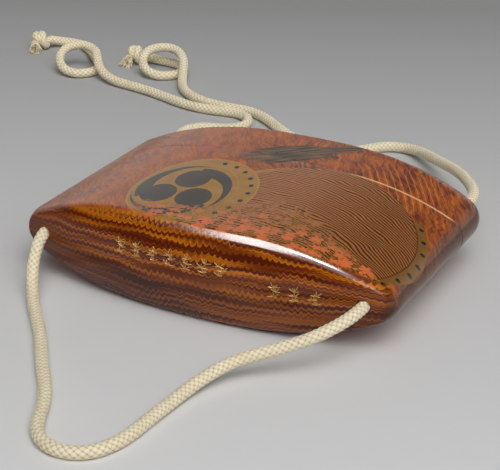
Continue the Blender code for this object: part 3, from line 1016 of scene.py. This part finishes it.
def paint_plumes(paint, colour, on_face):
    """Thin pale plumes with dark gaps that sweep down on the right."""
    x, y = paint.x, paint.y
    sweep = x * 0.90 + y * 0.44 + (y - 0.008) * (y - 0.008) * 9.0
    plume = zigzag(sweep / PLUME_SPACING + paint.noise(x / 0.007, y / 0.007, 16.0) * 0.5)
    fan = within(oval(x, y, PLUME_FAN), 0.005) * on_face
    colour = paint.mix(within(0.66 - plume, 0.25) * fan * 0.45, colour, PLUME_DARK)
    return paint.mix(within(plume - 0.14, 0.20) * fan * 0.6, colour, PLUME_PALE)


def paint_bird(paint, colour, on_face):
    """A resting bird: a dark body and tail, and a dim neck with a red comb."""
    x, y = paint.x, paint.y
    ruffle = (paint.noise(x / 0.0022, y / 0.0022, 14.0, 2.0) - 0.5) * 0.0020
    neck = bar(x, y, *BIRD_NECK) + ruffle
    colour = paint.mix(within(neck, 0.0022) * on_face * 0.45, colour, BIRD_PALE)
    body = oval(x, y, BIRD_BODY)
    tail = bar(x, y, *BIRD_TAIL)
    along, across = x * 0.74 + y * 0.67, y * 0.74 - x * 0.67
    streak = paint.noise(along / 0.006, across / 0.0006, 15.0, 2.0)
    feathers = paint.mix(ramp(streak, 0.40, 0.62), BIRD_GREY, BIRD_PALE)
    soft_left = ramp(along, 0.0005, 0.0050) * 0.55 + 0.45
    colour = paint.mix(within(least(body, tail) + ruffle, 0.0006) * soft_left * on_face, colour, feathers)
    comb = oval(x, y, BIRD_COMB) + ruffle * 0.5
    return paint.mix(within(comb, 0.0009) * on_face * 0.8, colour, COMB_RED)


def seam_glint(paint, colour):
    """A thin gold line along the joint: a painted highlight of the joint's edge, which fades out towards the
    left.
    """
    lit_share = ramp(paint.x + paint.noise(paint.x / 0.004, 0.0, 0.0) * 0.003, 0.0150, 0.0180)
    line = within(abs(paint.y - JOINT_Y) - 0.00024, 0.0001) * ramp(paint.x, 0.0356, 0.0342)
    return paint.mix(line * lit_share * 0.9, colour, SEAM_GLINT)


def bore_shade(paint, colour):
    """Darkens the insides of the bores."""
    out = span(abs(paint.x) - BORE_X, paint.z - MID_Z)
    return paint.mix(within(out - SEEN_BORE_RADIUS - 0.00006, 0.00008), colour, DEEP_BROWN)


def lacquer(name):
    paint = Paint(name)
    end = paint.attribute("end")
    on_face = within(end - 0.55, 0.2) * within(MID_Z - paint.z)
    colour = lacquer_colour(paint)
    colour = paint_plumes(paint, colour, on_face)
    colour = paint_drum(paint, colour, on_face)
    colour = paint_leaves(paint, colour, on_face)
    colour = paint_bird(paint, colour, on_face)
    # Painted highlight along the joint's edge
    colour = seam_glint(paint, colour)
    colour = bore_shade(paint, colour)
    swell = paint.noise(paint.x / 0.006, paint.y / 0.006, paint.z / 0.006, 2.0)
    grit = paint.noise(paint.x / 0.0004, paint.y / 0.0004, paint.z / 0.0004, 2.0)
    gloss = paint.noise(paint.x / 0.003, paint.y / 0.003, paint.z / 0.003, 3.0) * 0.12 + 0.13
    dull = within(abs(paint.y - JOINT_Y) - 0.0003, 0.0002) * 0.4
    return paint.finish(colour, gloss + dull, swell + grit * 0.02, 0.0006, 0.10, IOR=1.44)


def inner_lacquer():
    paint = Paint("inner_lacquer")
    fleck = paint.cells(paint.x * 3500 + paint.z * 900, paint.y * 3500 + paint.z * 1500)[1][0]
    colour = paint.mix(within(0.72 - fleck, 0.2), INNER_BROWN, INNER_GOLD)
    return paint.finish(colour, 0.35, fleck, 0.00003, 0.4, IOR=1.5, Coat_Weight=0.3)


def braid_material():
    """Cream silk, pale on the crown of each ply, with painted shade between the plies."""
    paint = Paint("braid")
    crown, high, ply = (paint.attribute(name) for name in ("crown", "high", "ply"))
    soil = paint.noise(paint.x / 0.004, paint.y / 0.004, paint.z / 0.004, 3.0)
    fibre = sine(ply * (2 * math.pi * PLY_FIBRES)) * 0.5 + 0.5
    # Painted shade: the plies darken where they sink between each other
    shade = ramp(crown, 0.15, 0.85) * 0.6 + ramp(high, 0.35, 0.85) * 0.4
    colour = paint.mix(shade, YARN_SHADE, YARN_PALE)
    colour = paint.mix(ramp(soil, 0.35, 0.75) * 0.25, colour, YARN_SOIL)
    colour = paint.mix(fibre * 0.10, colour, YARN_FIBRE)
    return paint.finish(colour, 0.85, fibre, 0.00003, 0.5, Specular_IOR_Level=0.1, Sheen_Weight=0.1)


# Two rows of fine raised gold strokes on the near end, in small sprays


STROKE_GOLD = (0.62, 0.37, 0.08)
STROKE_SHADE = (0.42, 0.24, 0.07)
STROKE_STEPS = 6
SPRAY_STROKES = 5
STROKE_WIDTH = 0.00017
STROKE_PROUD = 0.00003
STROKE_REACH = 0.00105
SPRAYS = ((-0.0004, 0.0009), (0.0004, 0.0002), (-0.0002, -0.0007))
FIRST_ROW = ((-0.0134, 0.0030), (0.0068, 0.0030), 7)
SECOND_ROW = ((0.0168, 0.0010), (0.0238, 0.0006), 3)


def stroke(start, end, places, faces):
    """A slender raised stroke on the near end, between two points given as x and a height from the middle."""
    way = Vector(end) - Vector(start)
    side = Vector((-way.y, way.x)).normalized() * (STROKE_WIDTH / 2)
    base = len(places)
    for i in range(STROKE_STEPS + 1):
        share = i / STROKE_STEPS
        middle = Vector(start) + way * share
        thin = 0.25 + 0.75 * math.sin(math.pi * (0.12 + 0.76 * share))
        for off, proud in ((-1, -0.2), (0, 1.0), (1, -0.2), (0, -1.2)):
            x, h = middle + side * (off * thin)
            places.append((x, -end_reach(x, h) - proud * STROKE_PROUD, MID_Z + h))
    faces += [[base + v for v in face] for face in tube_faces(STROKE_STEPS + 1, 4)]


def make_strokes():
    places, faces = [], []
    for start, end, count in (FIRST_ROW, SECOND_ROW):
        for k in range(count):
            middle = Vector(start).lerp(Vector(end), k / (count - 1))
            for spray, (off_x, off_h) in enumerate(SPRAYS):
                foot = middle + Vector((off_x * math.sin(2.1 * k + 1.0), off_h - STROKE_REACH / 2))
                for blade in range(SPRAY_STROKES):
                    lean = math.radians(-80 + 40 * blade + 18 * math.sin(1.7 * k + blade + 2 * spray))
                    reach = STROKE_REACH * (0.85 + 0.3 * math.sin(2.3 * blade + k + spray))
                    stroke(foot, foot + Vector((math.sin(lean), math.cos(lean))) * reach, places, faces)
    made = mesh_from("signature_strokes", places, faces)
    paint = Paint("stroke_gold")
    colour = paint.mix(paint.noise(paint.x / 0.0004, 0.0, paint.z / 0.0004), STROKE_GOLD, STROKE_SHADE)
    made.data.materials.append(paint.finish(colour, 0.38, Metallic=0.35, IOR=1.5))
    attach(made, "root")


# Studio: a dim room with one wide soft light high on the near right, paler walls behind the case and on its
# right, and three panels overhead that only show as highlights


ROOM = 0.03
BACK_ROOM = 0.03
BACK_WALL = 0.50
RIGHT_WALL = 0.38
KEY = 5.7
KEY_TIGHTNESS = 12.0
KEY_WAY = Vector((0.387, -0.461, 0.799))
ROOM_COLOUR = (1.0, 0.99, 0.975)

# Each panel's name, middle, width and length, and power
PANEL_HEIGHT = 0.83
PANELS = (
    ("panel_left", (-0.235, -0.30), (0.20, 0.90), 15.5),
    ("panel_middle", (-0.08, -0.20), (0.08, 0.60), 4.2),
    ("panel_right", (0.060, -0.04), (0.21, 0.16), 6.5),
)

# The floor is painted lighter near and darker far, as painted light, changing between two distances along a
# level way
FLOOR_SIZE = 6.0
FLOOR_NEAR_LIT = (0.86, 0.868, 0.880)
FLOOR_FAR_SHADE = (0.300, 0.304, 0.308)
FLOOR_SPECK = (0.5, 0.5, 0.5)
FLOOR_WAY = (-0.44, 0.898)
FLOOR_CHANGE = (-0.12, 0.18)


def make_floor():
    bpy.ops.mesh.primitive_plane_add(size=FLOOR_SIZE, location=(0, 0, 0))
    floor = bpy.context.object
    floor.name = "floor"
    paint = Paint("floor_paper")
    # Painted light: the floor darkens from near to far
    away = ramp(paint.y * FLOOR_WAY[1] + paint.x * FLOOR_WAY[0], *FLOOR_CHANGE)
    tone = paint.mix(away, FLOOR_NEAR_LIT, FLOOR_FAR_SHADE)
    speck = paint.noise(paint.x / 0.004, paint.y / 0.004, 0.0, 3.0)
    tone = paint.mix(speck * 0.06, tone, FLOOR_SPECK)
    floor.data.materials.append(paint.finish(tone, 0.9, IOR=1.3, Specular_IOR_Level=0.0))


def make_panel(name, middle, size, power):
    """A level rectangular light above the case that only shows in glossy surfaces."""
    data = bpy.data.lights.new(name, "AREA")
    data.shape = "RECTANGLE"
    data.size, data.size_y = size
    data.energy = power
    lamp = bpy.data.objects.new(name, data)
    bpy.context.collection.objects.link(lamp)
    lamp.location = (*middle, PANEL_HEIGHT)
    lamp.visible_diffuse = False


def make_light():
    for panel in PANELS:
        make_panel(*panel)
    world = bpy.data.worlds.new("studio")
    world.use_nodes = True
    tree = world.node_tree
    sky = tree.nodes["Background"]
    way = tree.nodes.new("ShaderNodeTexCoord").outputs["Generated"]
    split = tree.nodes.new("ShaderNodeSeparateXYZ")
    tree.links.new(way, split.inputs[0])
    x, y, z = (Field(out) for out in split.outputs)
    key = limited(x * KEY_WAY.x + y * KEY_WAY.y + z * KEY_WAY.z) ** KEY_TIGHTNESS
    walls = ramp(z, 0.53, 0.34) * BACK_WALL + ramp(z, 0.30, 0.05) * ramp(x, 0.2, 0.6) * RIGHT_WALL + BACK_ROOM
    feed(sky.inputs["Strength"], key * KEY + walls * ramp(y, -0.2, 0.4) + ROOM)
    sky.inputs["Color"].default_value = (*ROOM_COLOUR, 1.0)
    bpy.context.scene.world = world
    bpy.context.scene.view_settings.view_transform = "Standard"


def build():
    make_camera()
    braid = braid_material()
    back_inside = [in_bore(1, -y) for y in reversed(BORE_STOPS)]
    loop, loop_path = make_cord("cord_loop", NEAR_LOOP, -1, -1, back_inside)
    left, left_path = make_cord("cord_tail_left", TAIL_LEFT, -1, 1)
    right, right_path = make_cord("cord_tail_right", TAIL_RIGHT, 1, 1)
    knots_left = make_knot("knot_left", TAIL_LEFT, 3)
    knots_right = make_knot("knot_right", TAIL_RIGHT, 8)
    for piece in (loop, left, right, *knots_left, *knots_right):
        piece.data.materials.append(braid)
    mouth = end_reach(BORE_X, 0.0)
    in_bore(-1, -mouth)

    riser_half_width = CAVITY_HALF_WIDTH + RISER_WALL
    fit_y = JOINT_Y + RISER_HEIGHT
    body = shell("case_body_lacquered", -1, RISER_INSET, riser_half_width, fit_y)
    lid = shell("lid_lacquered", 1, SOCKET_INSET, riser_half_width + FIT_GAP, fit_y + FIT_GAP)
    outside, inside = lacquer("lacquer"), inner_lacquer()
    for piece, node, slot in ((body, "case_body", "body_lacquer"), (lid, "lid", "lid_lacquer")):
        cut_bores(piece)
        piece.data.materials.clear()
        piece.data.materials.append(outside)
        piece.data.materials.append(inside)
        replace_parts(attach(piece, "root"), node)
    make_strokes()
    make_floor()
    make_light()


build()
